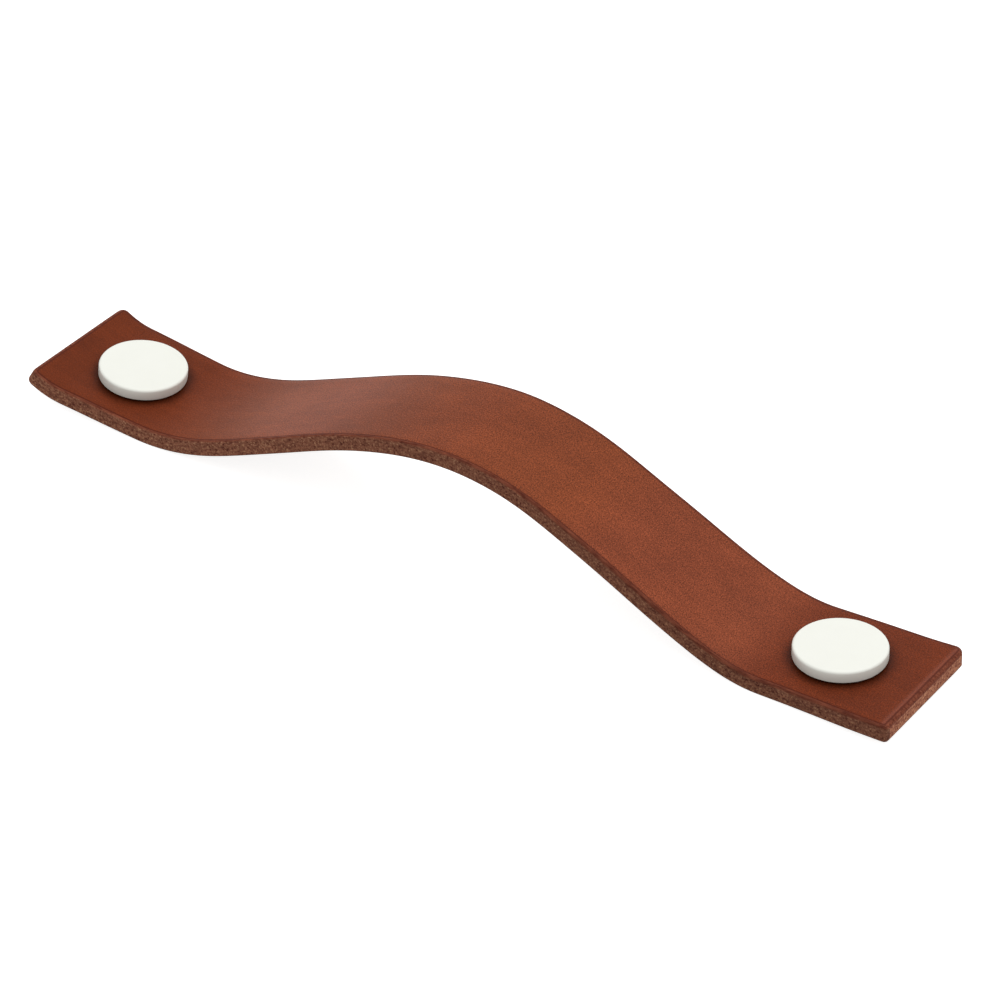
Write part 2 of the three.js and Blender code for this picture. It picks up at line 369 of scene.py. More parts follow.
# %% A grid across one end
def end_grid(ring):
    """Flat points of a grid over one end, from the grain side down and from +Y to -Y.

    In words: a Coons patch, which is the blend of the top and bottom lines, plus the blend of the
    two side lines, less the blend of the four corners.
    """
    top = ring[:TOP_LINES]
    near = ring[TOP_LINES : TOP_LINES + CHAIN]
    bottom = ring[TOP_LINES + CHAIN : 2 * TOP_LINES + CHAIN][::-1]
    far = ring[2 * TOP_LINES + CHAIN :][::-1]
    left = np.concatenate([top[:1], far, bottom[:1]])
    right = np.concatenate([top[-1:], near, bottom[-1:]])
    u = np.linspace(0, 1, TOP_LINES)[None, :, None]
    v = np.linspace(0, 1, CHAIN + 2)[:, None, None]
    ruled = (1 - v) * top + v * bottom + (1 - u) * left[:, None] + u * right[:, None]
    top_corners = (1 - u) * top[0] + u * top[-1]
    bottom_corners = (1 - u) * bottom[0] + u * bottom[-1]
    corners = (1 - v) * top_corners + v * bottom_corners
    return ruled - corners


def end_numbers(ring_start, new_start):
    """Point numbers of that grid: the ring's own on its border, new ones inside."""
    ids = np.zeros((CHAIN + 2, TOP_LINES), int)
    ids[0] = ring_start + np.arange(TOP_LINES)
    ids[-1] = ring_start + TOP_LINES + CHAIN + np.arange(TOP_LINES)[::-1]
    ids[1:-1, -1] = ring_start + TOP_LINES + np.arange(CHAIN)
    ids[1:-1, 0] = ring_start + 2 * TOP_LINES + CHAIN + np.arange(CHAIN)[::-1]
    inside = new_start + np.arange(CHAIN * (TOP_LINES - 2))
    ids[1:-1, 1:-1] = inside.reshape(CHAIN, TOP_LINES - 2)
    return ids


# %% Quads between the rows of a table of point numbers
def quads(ids):
    """Faces between neighbouring rows and columns of a table of point numbers."""
    a, b = ids[:-1, :-1], ids[:-1, 1:]
    c, d = ids[1:, 1:], ids[1:, :-1]
    return np.stack([a, b, c, d], axis=-1).reshape(-1, 4)


# %% [markdown]
# ## The whole strap as one mesh
# The parts are joined by sharing point numbers, so the skin is closed without merging anything.
# The flat place of every point is kept as an attribute, in millimetres: the patterns of the grain
# and of the fibres then follow the leather round its bends.

# %% Put the strap together
def strap_mesh():
    """Flat points, faces and the zone of each face, for the closed skin of the strap."""
    count, around = RINGS.shape[:2]
    flat = [RINGS.reshape(-1, 3)]
    ids = np.arange(count * around).reshape(count, around)
    looped = np.concatenate([ids, ids[:, :1]], axis=1)
    skin = quads(looped).reshape(count - 1, around, 4)
    skin_zone = np.broadcast_to(
        np.where(RING_ZONES == np.roll(RING_ZONES, -1), RING_ZONES, 1), (count - 1, around)
    )
    keep = np.ones((count - 1, around), bool)
    faces, zones = [], []
    used = count * around
    for hole in (-LEFT["hole"], RIGHT["hole"]):
        place = window(hole)
        first, last, line_first, line_last = place
        back_first = TOP_LINES + CHAIN + (TOP_LINES - 1 - line_last)
        keep[first:last, line_first:line_last] = False
        keep[first:last, back_first : back_first + line_last - line_first] = False
        top_ids, back_ids = window_border(*place, False), window_border(*place, True)
        rings, ring_zones = hole_rings(flat[0][top_ids], flat[0][back_ids], hole)
        new = used + np.arange(rings.shape[0] * rings.shape[1]).reshape(rings.shape[:2])
        table = np.concatenate([top_ids[None], new, back_ids[None]])
        table = np.concatenate([table, table[:, :1]], axis=1)
        faces.append(quads(table))
        face_zones = np.concatenate([ring_zones, [2]])
        zones.append(np.repeat(face_zones, rings.shape[1]))
        flat.append(rings.reshape(-1, 3))
        used += new.size
    for index, turned in ((0, True), (count - 1, False)):
        grid = end_grid(RINGS[index])
        table = end_numbers(index * around, used)
        part = quads(table)
        faces.append(part[:, ::-1] if turned else part)
        zones.append(np.ones(len(part), int))
        flat.append(grid[1:-1, 1:-1].reshape(-1, 3))
        used += flat[-1].shape[0]
    faces.insert(0, skin[keep])
    zones.insert(0, skin_zone[keep])
    return np.concatenate(flat), np.concatenate(faces), np.concatenate(zones)


STRAP_FLAT, STRAP_FACES, STRAP_ZONES = strap_mesh()
print("strap:", len(STRAP_FLAT), "points,", len(STRAP_FACES), "faces")


# %% Uneven leather: slow swells of the grain, and a ragged cut edge
FIBRE_DEPTH = 0.03
FIBRE_SEED = 11
LONG_SWELL = dict(height=0.03, along=9.0, across=6.0)
CROSS_SWELL = dict(height=0.02, along=14.0, across=3.4)
SWELL_SINK = 0.05
SEAT_REACH = 8.5
SWELL_FADE = 3.0


def inside_outline(along, across):
    """Distance of a flat point inside the near or the far edge, whichever side it lies on."""
    width = np.where(across < 0, half_width(along, "near"), half_width(along, "far"))
    return width - np.abs(across)


def uneven(flat):
    """Moves flat points a little, as hide does.

    In words: the grain side swells by two crossed sines, which fade out towards a button and down
    the edge. Points of the cut edge move sideways, mostly inwards, by a seeded random amount.
    """
    along, across, height = flat.T
    swell = LONG_SWELL["height"] * np.sin(
        along / LONG_SWELL["along"] + across / LONG_SWELL["across"]
    )
    swell += CROSS_SWELL["height"] * np.sin(
        across / CROSS_SWELL["across"] - along / CROSS_SWELL["along"]
    )
    to_seat = np.hypot(np.where(along < 0, along + LEFT["hole"], along - RIGHT["hole"]), across)
    calm = np.clip((to_seat - SEAT_REACH) / SWELL_FADE, 0, 1)
    moved = flat.copy()
    towards_grain = np.clip(height / (STRAP_THICKNESS / 2), 0, 1) ** 2
    moved[:, 2] += (swell - SWELL_SINK) * calm * towards_grain
    rough = np.random.default_rng(FIBRE_SEED).normal(-1, 1, len(flat)) * FIBRE_DEPTH
    at_outline = inside_outline(along, across) < 0.02
    on_edge = at_outline & (np.abs(height) < STRAP_THICKNESS / 2 - GRAIN_EDGE_RADIUS)
    moved[:, 1] += np.sign(across) * rough * on_edge
    return moved


# %% [markdown]
# ## What each point of the skin knows
# Leather changes along its length: the photograph shows a paler arch, where bending draws out the
# wax. On top of that come a painted highlight on the rolled right end and painted shade in a ring
# round each button. Masks painted by hand could hold that, but here each point works them out from
# its flat place, and keeps them in vector attributes for the materials to read.

# %% Where a point lies on the skin, with places along the strap in mm
LEFT_PULL_UP = (2.0, 33.0)
RIGHT_PULL_UP = (4.0, 19.0)
GRAIN_PLACES = [-94, -30, 8, 58, 76]
GRAIN_STRENGTHS = [0.45, 0.9, 1.0, 1.0, 0.9]


def skin_place(flat):
    """For each point: how far round the edge it is, how far up the arch, and how grainy.

    In words: the first number is the depth under the grain less the distance inside the outline,
    so it is negative on the grain, about zero at the turn and the thickness at the back. The second
    is 0 on the seats and rises smoothly to 1 between two distances from each button's middle. The
    third is how strongly the grain stands out, straight lines between a few places.
    """
    along, across, height = flat.T
    inside = np.minimum(inside_outline(along, across), to_end(along)[0])
    round_edge = STRAP_THICKNESS / 2 - height - inside
    before = np.where(along < 0, along + LEFT["hole"], RIGHT["hole"] - along)
    first = np.where(along < 0, LEFT_PULL_UP[0], RIGHT_PULL_UP[0])
    last = np.where(along < 0, LEFT_PULL_UP[1], RIGHT_PULL_UP[1])
    share = np.clip((before - first) / (last - first), 0, 1)
    strength = np.interp(along, GRAIN_PLACES, GRAIN_STRENGTHS)
    return np.stack([round_edge, share**2 * (3 - 2 * share), strength], axis=-1)


# %% How pale a point is, and where the painted highlight and the painted shade go
END_FADE = 0.3
PALENESS_PLACES = [-40, 50]
LONG_EDGE_PALENESS = [1.05, 0.82]
END_PALENESS = 1.75
PAINTED_HIGHLIGHT_INSET = 1.1
PAINTED_HIGHLIGHT_WIDTH = 0.4
PAINTED_SHADE_WIDTH = 1.3


def end_share(flat):
    """1 on the two end faces, fading to 0 a short way round the end, and 0 on the long edges."""
    along, across = flat[:, 0], flat[:, 1]
    inside = np.abs(across) < half_width(along, "near") - END_FADE
    return np.clip(1 - to_end(along)[0] / END_FADE, 0, 1) * inside


def paleness_and_painted_light(flat):
    """For each point: how pale the cut fibre is, how much painted highlight it gets, and how much
    painted shade round a button.

    In words: the long edges darken from left to right, and the end faces, cut across the fibres,
    are paler. The painted highlight is a bell over the distance to the right end, on its rolled
    edge.
    The painted shade is a bell over the distance outside the button's rim.
    """
    along, across, _ = flat.T
    pale = np.interp(along, PALENESS_PLACES, LONG_EDGE_PALENESS)
    pale = pale + (END_PALENESS - pale) * end_share(flat)
    painted_highlight = np.exp(-(((RIGHT["end"] - along - PAINTED_HIGHLIGHT_INSET) / PAINTED_HIGHLIGHT_WIDTH) ** 2))
    outside = np.hypot(np.where(along < 0, along + LEFT["hole"], along - RIGHT["hole"]), across)
    ring = np.exp(-((np.maximum(outside - BUTTON_DIAMETER / 2, 0) / PAINTED_SHADE_WIDTH) ** 2))
    return np.stack([pale, painted_highlight, ring], axis=-1)


# %% [markdown]
# ### How the dye lies, and two bands of painted shade
# Dye soaks in unevenly: it is darker in some bands across the strap, yellower in others, and runs
# down over the cut edge. Clouds of noise alone would put these places anywhere, so the main ones
# are listed here, each as a place along the strap, a width and a strength.
# Two of the darker bands, at -51 and -17 mm, and the higher yellow there are painted shade: they
# darken the leather either side of the sheen on the left flank, so that the sheen looks narrower.

# %% Dye
# The bands at -51 and -17 mm and the yellow at -50 and -17 mm are painted shade beside the sheen.
YELLOW_PLACES = [-90, -64, -50, -36, -26, -17, 0, 13, 20, 32, 44, 62, 76]
YELLOW_SHARES = [0.95, 0.5, 0.75, 0.4, 0.4, 0.7, 0.45, 0.8, 0.8, 0.1, 0.0, 0.05, 0.5]
DYE_AND_SHADE_BANDS = [
    (-51.0, 9.0, -0.1),
    (-33.0, 8.0, -0.03),
    (-17.0, 8.0, -0.13),
    (8.0, 20.0, -0.09),
    (48.0, 18.0, 0.01),
]
DYED_TO_PLACES = [-40, 50]
DYED_TO = [0.0, 0.45]
DYED_TO_AT_END = 0.55


def dye_and_shade_places(flat):
    """For each point: its shade from dye and painted shade, how yellow it is, and how far dye has
    run.

    In words: one plus a bell round the middle of each darker or paler band, then straight lines
    between a few places, then a run that grows along the long edges and is longest on the ends.
    """
    along = flat[:, 0]
    shade = np.ones(len(flat))
    for place, width, change in DYE_AND_SHADE_BANDS:
        shade = shade + change * np.exp(-(((along - place) / width) ** 2))
    yellow = np.interp(along, YELLOW_PLACES, YELLOW_SHARES)
    run = np.interp(along, DYED_TO_PLACES, DYED_TO)
    run = run + (DYED_TO_AT_END - run) * end_share(flat)
    return np.stack([shade, yellow, run], axis=-1)


# %% [markdown]
# ## From arrays to a mesh
# Blender can build a mesh vertex by vertex, but that is slow and hard to read. Here a mesh takes
# whole arrays of points and faces, and the numbers of each point are stored beside them.

# %% A mesh object from arrays
def new_piece(name, points_mm, faces, zones, materials):
    """Puts points in millimetres and quads into a mesh, one material for each zone."""
    mesh = bpy.data.meshes.new(name)
    mesh.from_pydata((points_mm * MM).tolist(), [], faces)
    mesh.polygons.foreach_set("material_index", np.asarray(zones, np.int32))
    mesh.polygons.foreach_set("use_smooth", np.ones(len(faces), bool))
    for material in materials:
        mesh.materials.append(material)
    mesh.update()
    piece = bpy.data.objects.new(name, mesh)
    bpy.context.scene.collection.objects.link(piece)
    print(name, "has", len(mesh.polygons), "faces")
    return piece


def keep_vectors(piece, name, values):
    """Stores one vector for each point, for the materials to read."""
    attribute = piece.data.attributes.new(name, "FLOAT_VECTOR", "POINT")
    attribute.data.foreach_set("vector", np.asarray(values, np.float32).ravel())


# %% [markdown]
# ## Materials
# Each finish is a small tree of nodes. One helper adds a node, sets it up and links it, and one
# turns the usual web colours into the linear numbers that the shader works in.

# %% Helpers for materials
def linear(web):
    """The linear colour of an sRGB hex value such as #7A3A28, with an alpha of 1."""
    parts = np.array([int(web[i : i + 2], 16) for i in (1, 3, 5)]) / 255
    low, high = parts / 12.92, ((parts + 0.055) / 1.055) ** 2.4
    return (*np.where(parts <= 0.04045, low, high).tolist(), 1.0)


def add_node(tree, kind, settings=None, inputs=None, output=None):
    """Adds a node, sets its properties and its inputs, and returns it, or one of its outputs."""
    made = tree.nodes.new(kind)
    for name, value in (settings or {}).items():
        setattr(made, name, value)
    for name, value in (inputs or {}).items():
        if isinstance(value, bpy.types.NodeSocket):
            tree.links.new(value, made.inputs[name])
        else:
            made.inputs[name].default_value = value
    return made.outputs[output] if output else made


def new_material(name):
    """An empty material and its tree."""
    material = bpy.data.materials.new(name)
    material.use_nodes = True
    material.node_tree.nodes.clear()
    print("material:", name)
    return material, material.node_tree


# %% [markdown]
# ### The grain side: vegetable-tanned cowhide, dyed chestnut and lightly waxed
# The eye reads it by four things: a colour that is lighter and more orange where bending has drawn
# the wax out, cloudy dye with soft streaks along the strap, a pebble of about half a millimetre
# with bright and dark specks, and a faint sheen that only shows where the surface is seen at a
# shallow angle. The patterns are noise read at the flat place of the leather, in mm, so that they
# follow every bend. Real specks are finer than a pixel, so they are drawn coarser than they are.
# Wax fills the fibres loosely and mirrors little, so the mirror level is far below that of plastic.

# %% Sizes of the grain, in mm
GRAIN_PEBBLE = 0.5
FLECK_SIZE = 0.22
CLOUD_SIZE = 17.0
STREAK_SIZE = (11.0, 1.7, 4.0)
MOTTLE_SIZE = 2.6

# %% How far each pattern lightens and darkens the leather
CLOUD_SPREAD = 0.16
STREAK_SPREAD = 0.14
MOTTLE_SPREAD = 0.1
PEBBLE_SPREAD = 0.22
FLECK_SPREAD = 1.0
DARK_SIDE = 0.85


def uneven_shade(tree, place, size, spread, detail=3.0):
    """A shade around 1 from noise of one feature size, and the plain noise.

    In words: the usual range of the noise is stretched over the spread, and its dark side is held
    back a little, because the light specks of the leather stand out more than the dark ones.
    """
    noise = add_node(
        tree, "ShaderNodeTexNoise", None,
        {"Vector": place, "Scale": 1 / size, "Detail": detail, "Roughness": 0.6}, "Fac",
    )
    shade = add_node(
        tree, "ShaderNodeMapRange", None,
        {"Value": noise, "From Min": 0.2, "From Max": 0.8,
         "To Min": 1 - spread * DARK_SIDE, "To Max": 1 + spread},
        "Result",
    )
    return shade, noise


# %% The shade of the grain
def grain_shade(tree, flat, strength, dye_and_shade_band):
    """Clouds times streaks, mottles, bands and the fine grain, and the noise of cloud and pebble."""
    stretched = add_node(
        tree, "ShaderNodeMapping", {"vector_type": "TEXTURE"},
        {"Vector": flat, "Scale": STREAK_SIZE}, "Vector",
    )
    cloud, cloud_noise = uneven_shade(tree, flat, CLOUD_SIZE, CLOUD_SPREAD)
    streak, _ = uneven_shade(tree, stretched, 1.0, STREAK_SPREAD)
    mottle, _ = uneven_shade(tree, flat, MOTTLE_SIZE, MOTTLE_SPREAD)
    pebble, relief = uneven_shade(tree, flat, GRAIN_PEBBLE, PEBBLE_SPREAD, 2.0)
    fleck, _ = uneven_shade(tree, flat, FLECK_SIZE, FLECK_SPREAD, 1.0)
    fine = add_node(
        tree, "ShaderNodeMath", {"operation": "MULTIPLY"}, {0: pebble, 1: fleck}, "Value"
    )
    shade = add_node(
        tree, "ShaderNodeMix", {"data_type": "FLOAT"},
        {"Factor": strength, "A": 1.0, "B": fine}, "Result",
    )
    for part in (cloud, streak, mottle, dye_and_shade_band):
        shade = add_node(
            tree, "ShaderNodeMath", {"operation": "MULTIPLY"}, {0: shade, 1: part}, "Value"
        )
    return shade, cloud_noise, relief


# %% The colour of the grain
SEAT_DYE = "#672D16"
ARCH_DYE = "#7C4029"
PINK_TINT = "#FFF6FA"
YELLOW_TINT = "#FFF6D2"
YELLOW_BY_CLOUD = 0.35


def grain_colour(tree, flat, arch, strength):
    """Seat dye to arch dye, times a tint from pink to yellow, times the shade of the grain."""
    vector = add_node(tree, "ShaderNodeAttribute", {"attribute_name": "dye"}, None, "Vector")
    dye_and_shade_band, yellow, _ = add_node(tree, "ShaderNodeSeparateXYZ", None, {"Vector": vector}).outputs
    shade, cloud_noise, relief = grain_shade(tree, flat, strength, dye_and_shade_band)
    dye = add_node(
        tree, "ShaderNodeMix", {"data_type": "RGBA"},
        {"Factor": arch, "A": linear(SEAT_DYE), "B": linear(ARCH_DYE)}, "Result",
    )
    share = add_node(
        tree, "ShaderNodeMix", {"data_type": "FLOAT"},
        {"Factor": YELLOW_BY_CLOUD, "A": yellow, "B": cloud_noise}, "Result",
    )
    tint = add_node(
        tree, "ShaderNodeMix", {"data_type": "RGBA"},
        {"Factor": share, "A": linear(PINK_TINT), "B": linear(YELLOW_TINT)}, "Result",
    )
    tinted = add_node(
        tree, "ShaderNodeVectorMath", {"operation": "MULTIPLY"}, {0: dye, 1: tint}, "Vector"
    )
    shaded = add_node(
        tree, "ShaderNodeVectorMath", {"operation": "SCALE"}, {0: tinted, "Scale": shade}, "Vector"
    )
    return shaded, relief


# %% The colour of the rim
RIM_STREAK = (2.4, 0.4, 0.4)
RIM_RED = "#4A190D"
RIM_DUSTY = "#8A4C36"


def rim_colour(tree, flat):
    """Dye smeared over short streaks along the strap: dark red to dusty red-brown."""
    stretched = add_node(
        tree, "ShaderNodeMapping", {"vector_type": "TEXTURE"},
        {"Vector": flat, "Scale": RIM_STREAK}, "Vector",
    )
    streak = add_node(
        tree, "ShaderNodeTexNoise", None,
        {"Vector": stretched, "Scale": 1.0, "Detail": 3.0, "Roughness": 0.7}, "Fac",
    )
    share = add_node(
        tree, "ShaderNodeMapRange", None,
        {"Value": streak, "From Min": 0.3, "From Max": 0.7}, "Result",
    )
    return add_node(
        tree, "ShaderNodeMix", {"data_type": "RGBA"},
        {"Factor": share, "A": linear(RIM_RED), "B": linear(RIM_DUSTY)}, "Result",
    )


# %% Painted light on the grain: painted shade in a ring round each button, and a painted highlight on the rolled right end
PAINTED_RING_SHADE = 0.42
PAINTED_HIGHLIGHT_SHARE = 0.22
PAINTED_HIGHLIGHT_COLOUR = "#A86E60"


def with_painted_light(tree, colour, painted_highlight, ring):
    """The grain's colour, with painted shade in a ring round each button and a painted highlight on
    the rolled right end.
    """
    painted_shade_factor = add_node(
        tree, "ShaderNodeMapRange", None,
        {"Value": ring, "From Min": 0.0, "From Max": 1.0, "To Min": 1.0, "To Max": PAINTED_RING_SHADE},
        "Result",
    )
    with_painted_shade = add_node(
        tree, "ShaderNodeVectorMath", {"operation": "SCALE"},
        {0: colour, "Scale": painted_shade_factor}, "Vector",
    )
    share = add_node(
        tree, "ShaderNodeMath", {"operation": "MULTIPLY"}, {0: painted_highlight, 1: PAINTED_HIGHLIGHT_SHARE}, "Value"
    )
    return add_node(
        tree, "ShaderNodeMix", {"data_type": "RGBA"},
        {"Factor": share, "A": with_painted_shade, "B": linear(PAINTED_HIGHLIGHT_COLOUR)}, "Result",
    )


# %% The line of the edging tool, and the rim beyond it
CREASE_LINE = 0.28
CREASE_SHARE = 0.8
CREASE_RED = "#46180E"
RIM_FADE = 0.25


def edged_colour(tree, colour, flat, round_edge):
    """The colour of the rim past the crease, the given colour before it, and a dark red line."""
    beyond = add_node(
        tree, "ShaderNodeMath", {"operation": "ADD"},
        {0: round_edge, 1: GRAIN_EDGE_RADIUS + CREASE_INSET}, "Value",
    )
    rim_share = add_node(
        tree, "ShaderNodeMapRange", None,
        {"Value": beyond, "From Min": 0.0, "From Max": RIM_FADE}, "Result",
    )
    rimmed = add_node(
        tree, "ShaderNodeMix", {"data_type": "RGBA"},
        {"Factor": rim_share, "A": colour, "B": rim_colour(tree, flat)}, "Result",
    )
    away = add_node(tree, "ShaderNodeMath", {"operation": "ABSOLUTE"}, {0: beyond}, "Value")
    line = add_node(
        tree, "ShaderNodeMapRange", None,
        {"Value": away, "From Min": 0.0, "From Max": CREASE_LINE,
         "To Min": CREASE_SHARE, "To Max": 0.0},
        "Result",
    )
    return add_node(
        tree, "ShaderNodeMix", {"data_type": "RGBA"},
        {"Factor": line, "A": rimmed, "B": linear(CREASE_RED)}, "Result",
    )


# %% Grain
def vegetable_tanned_grain():
    """The grain's colour, a bump from its pebbles, and a shader with a low mirror level."""
    material, tree = new_material("vegetable_tanned_grain")
    flat = add_node(tree, "ShaderNodeAttribute", {"attribute_name": "flat"}, None, "Vector")
    skin = add_node(tree, "ShaderNodeAttribute", {"attribute_name": "skin"}, None, "Vector")
    paleness_and_light_vector = add_node(tree, "ShaderNodeAttribute", {"attribute_name": "paleness_and_painted_light"}, None, "Vector")
    round_edge, arch, strength = add_node(
        tree, "ShaderNodeSeparateXYZ", None, {"Vector": skin}
    ).outputs
    # The last two numbers of this vector are the painted highlight and the painted shade round the
    # buttons.
    _, painted_highlight, ring = add_node(tree, "ShaderNodeSeparateXYZ", None, {"Vector": paleness_and_light_vector}).outputs
    colour, relief = grain_colour(tree, flat, arch, strength)
    colour = with_painted_light(tree, colour, painted_highlight, ring)
    bump = add_node(
        tree, "ShaderNodeBump", None,
        {"Height": relief, "Strength": 0.35, "Distance": 0.1 * MM}, "Normal",
    )
    shader = add_node(
        tree, "ShaderNodeBsdfPrincipled", None,
        {"Base Color": edged_colour(tree, colour, flat, round_edge), "Roughness": 0.42,
         "IOR": 1.48, "Specular IOR Level": 0.06, "Normal": bump},
        "BSDF",
    )
    add_node(tree, "ShaderNodeOutputMaterial", None, {"Surface": shader})
    return material


# %% [markdown]
# ### The cut edge: raw fibre under a dyed rim
# The die leaves the middle of the hide open: short fibres that lie along the strap, grey-brown
# with tan and dark red ones among them. Dye has run over the upper edge, so the top of the cut is
# redder, with a ragged lower border, and the corner with the back is dark where the blade came out.
# A picture of fibres would repeat along the strap, so stretched noise in real mm draws them.

# %% The colour of the fibres
FIBRE_SIZE = (1.5, 1.5, 0.5)
SPECKS_PER_MM = 2.4
FIBRE_DARK = "#582D20"
FIBRE_LIGHT = "#9E684F"
TAN_SPECK = "#AC7C5E"
RED_SPECK = "#4C1C12"


def fibre_colour(tree, flat, fibre):
    """Grey-brown to tan along the fibres, with light tan specks and dark red ones."""
    share = add_node(
        tree, "ShaderNodeMapRange", None,
        {"Value": fibre, "From Min": 0.3, "From Max": 0.7}, "Result",
    )
    colour = add_node(
        tree, "ShaderNodeMix", {"data_type": "RGBA"},
        {"Factor": share, "A": linear(FIBRE_DARK), "B": linear(FIBRE_LIGHT)}, "Result",
    )
    speck = add_node(
        tree, "ShaderNodeTexNoise", None,
        {"Vector": flat, "Scale": SPECKS_PER_MM, "Detail": 2.0, "Roughness": 0.7}, "Fac",
    )
    for start, end, web in ((0.56, 0.68, TAN_SPECK), (0.44, 0.34, RED_SPECK)):
        share = add_node(
            tree, "ShaderNodeMapRange", None,
            {"Value": speck, "From Min": start, "From Max": end}, "Result",
        )
        colour = add_node(
            tree, "ShaderNodeMix", {"data_type": "RGBA"},
            {"Factor": share, "A": colour, "B": linear(web)}, "Result",
        )
    return colour


# %% The dyed rim over the fibres
RAGGED = 1.2
RAW_FROM, RAW_TO = 0.4, 0.9


def dyed_rim(tree, flat, fibre, round_edge, run):
    """The rim's colour above and the fibre's below, with a border that the fibres make ragged."""
    lumpy = add_node(
        tree, "ShaderNodeMath", {"operation": "MULTIPLY"}, {0: fibre, 1: RAGGED}, "Value"
    )
    ragged = add_node(
        tree, "ShaderNodeMath", {"operation": "ADD"}, {0: round_edge, 1: lumpy}, "Value"
    )
    beyond = add_node(
        tree, "ShaderNodeMath", {"operation": "SUBTRACT"}, {0: ragged, 1: run}, "Value"
    )
    raw_share = add_node(
        tree, "ShaderNodeMapRange", None,
        {"Value": beyond, "From Min": RAW_FROM, "From Max": RAW_TO}, "Result",
    )
    return add_node(
        tree, "ShaderNodeMix", {"data_type": "RGBA"},
        {"Factor": raw_share, "A": rim_colour(tree, flat), "B": fibre_colour(tree, flat, fibre)},
        "Result",
    )


# %% Cut edge
BACK_LINE = 0.25
BACK_SHADE = 0.5


def cut_edge_fibre():
    """Fibres about 0.5 mm thick and 1.5 mm long, with a dyed rim above and a dark line below."""
    material, tree = new_material("cut_edge_fibre")
    vectors = [
        add_node(tree, "ShaderNodeAttribute", {"attribute_name": name}, None, "Vector")
        for name in ("flat", "skin", "paleness_and_painted_light", "dye")
    ]
    flat = vectors[0]
    skin, paleness, dye = [
        add_node(tree, "ShaderNodeSeparateXYZ", None, {"Vector": vector}).outputs
        for vector in vectors[1:]
    ]
    round_edge, pale, run = skin["X"], paleness["X"], dye["Z"]
    stretched = add_node(
        tree, "ShaderNodeMapping", {"vector_type": "TEXTURE"},
        {"Vector": flat, "Scale": FIBRE_SIZE}, "Vector",
    )
    fibre = add_node(
        tree, "ShaderNodeTexNoise", None,
        {"Vector": stretched, "Scale": 1.0, "Detail": 5.0, "Roughness": 0.75}, "Fac",
    )
    back_shade = add_node(
        tree, "ShaderNodeMapRange", None,
        {"Value": round_edge, "From Min": STRAP_THICKNESS - BACK_LINE,
         "From Max": STRAP_THICKNESS, "To Min": 1.0, "To Max": BACK_SHADE},
        "Result",
    )
    shade = add_node(
        tree, "ShaderNodeMath", {"operation": "MULTIPLY"}, {0: back_shade, 1: pale}, "Value"
    )
    colour = add_node(
        tree, "ShaderNodeVectorMath", {"operation": "SCALE"},
        {0: dyed_rim(tree, flat, fibre, round_edge, run), "Scale": shade}, "Vector",
    )
    bump = add_node(
        tree, "ShaderNodeBump", None,
        {"Height": fibre, "Strength": 0.9, "Distance": 0.3 * MM}, "Normal",
    )
    shader = add_node(
        tree, "ShaderNodeBsdfPrincipled", None,
        {"Base Color": colour, "Roughness": 0.85, "IOR": 1.48, "Specular IOR Level": 0.15,
         "Normal": bump},
        "BSDF",
    )
    add_node(tree, "ShaderNodeOutputMaterial", None, {"Surface": shader})
    return material


# %% [markdown]
# ### The back: the flesh side, shaved and brushed
# The underside is undyed fibre with a short nap, like suede: pale brown, quite matt, with slow
# blotches and a fine felt. The photograph doesn't show it, so it is made as such leather is. Two
# noises, one coarse and one fine, are enough for it, where combed hair would cost a lot unseen.

# %% Flesh side
BLOTCH_SIZE = 6.0
NAP_SIZE = 0.3


def brushed_flesh_side():
    """A pale brown nap with blotches of about 6 mm and a felt of about 0.3 mm."""
    material, tree = new_material("brushed_flesh_side")
    flat = add_node(tree, "ShaderNodeAttribute", {"attribute_name": "flat"}, None, "Vector")
    blotch = add_node(
        tree, "ShaderNodeTexNoise", None,
        {"Vector": flat, "Scale": 1 / BLOTCH_SIZE, "Detail": 4.0}, "Fac",
    )
    nap = add_node(
        tree, "ShaderNodeTexNoise", None,
        {"Vector": flat, "Scale": 1 / NAP_SIZE, "Detail": 3.0, "Roughness": 0.7}, "Fac",
    )
    tone = add_node(tree, "ShaderNodeMath", {"operation": "ADD"}, {0: blotch, 1: nap}, "Value")
    share = add_node(
        tree, "ShaderNodeMapRange", None,
        {"Value": tone, "From Min": 0.6, "From Max": 1.4}, "Result",
    )
    colour = add_node(
        tree, "ShaderNodeMix", {"data_type": "RGBA"},
        {"Factor": share, "A": linear("#75513A"), "B": linear("#A88465")}, "Result",
    )
    bump = add_node(
        tree, "ShaderNodeBump", None,
        {"Height": nap, "Strength": 0.6, "Distance": 0.15 * MM}, "Normal",
    )
    shader = add_node(
        tree, "ShaderNodeBsdfPrincipled", None,
        {"Base Color": colour, "Roughness": 0.95, "Sheen Weight": 0.2, "Normal": bump}, "BSDF",
    )
    add_node(tree, "ShaderNodeOutputMaterial", None, {"Surface": shader})
    return material


# %% Make the strap
strap = new_piece(
    "strap_skin",
    bent(uneven(STRAP_FLAT)),
    STRAP_FACES.tolist(),
    STRAP_ZONES,
    [vegetable_tanned_grain(), cut_edge_fibre(), brushed_flesh_side()],
)
keep_vectors(strap, "flat", STRAP_FLAT)
keep_vectors(strap, "skin", skin_place(STRAP_FLAT))
# This attribute holds the paleness of the cut fibre, the painted highlight and the painted shade
# round the buttons.
keep_vectors(strap, "paleness_and_painted_light", paleness_and_painted_light(STRAP_FLAT))
# This attribute also holds the painted shade of two bands beside the sheen of the left flank.
keep_vectors(strap, "dye", dye_and_shade_places(STRAP_FLAT))
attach(strap, "root")
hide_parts("leather_strap")

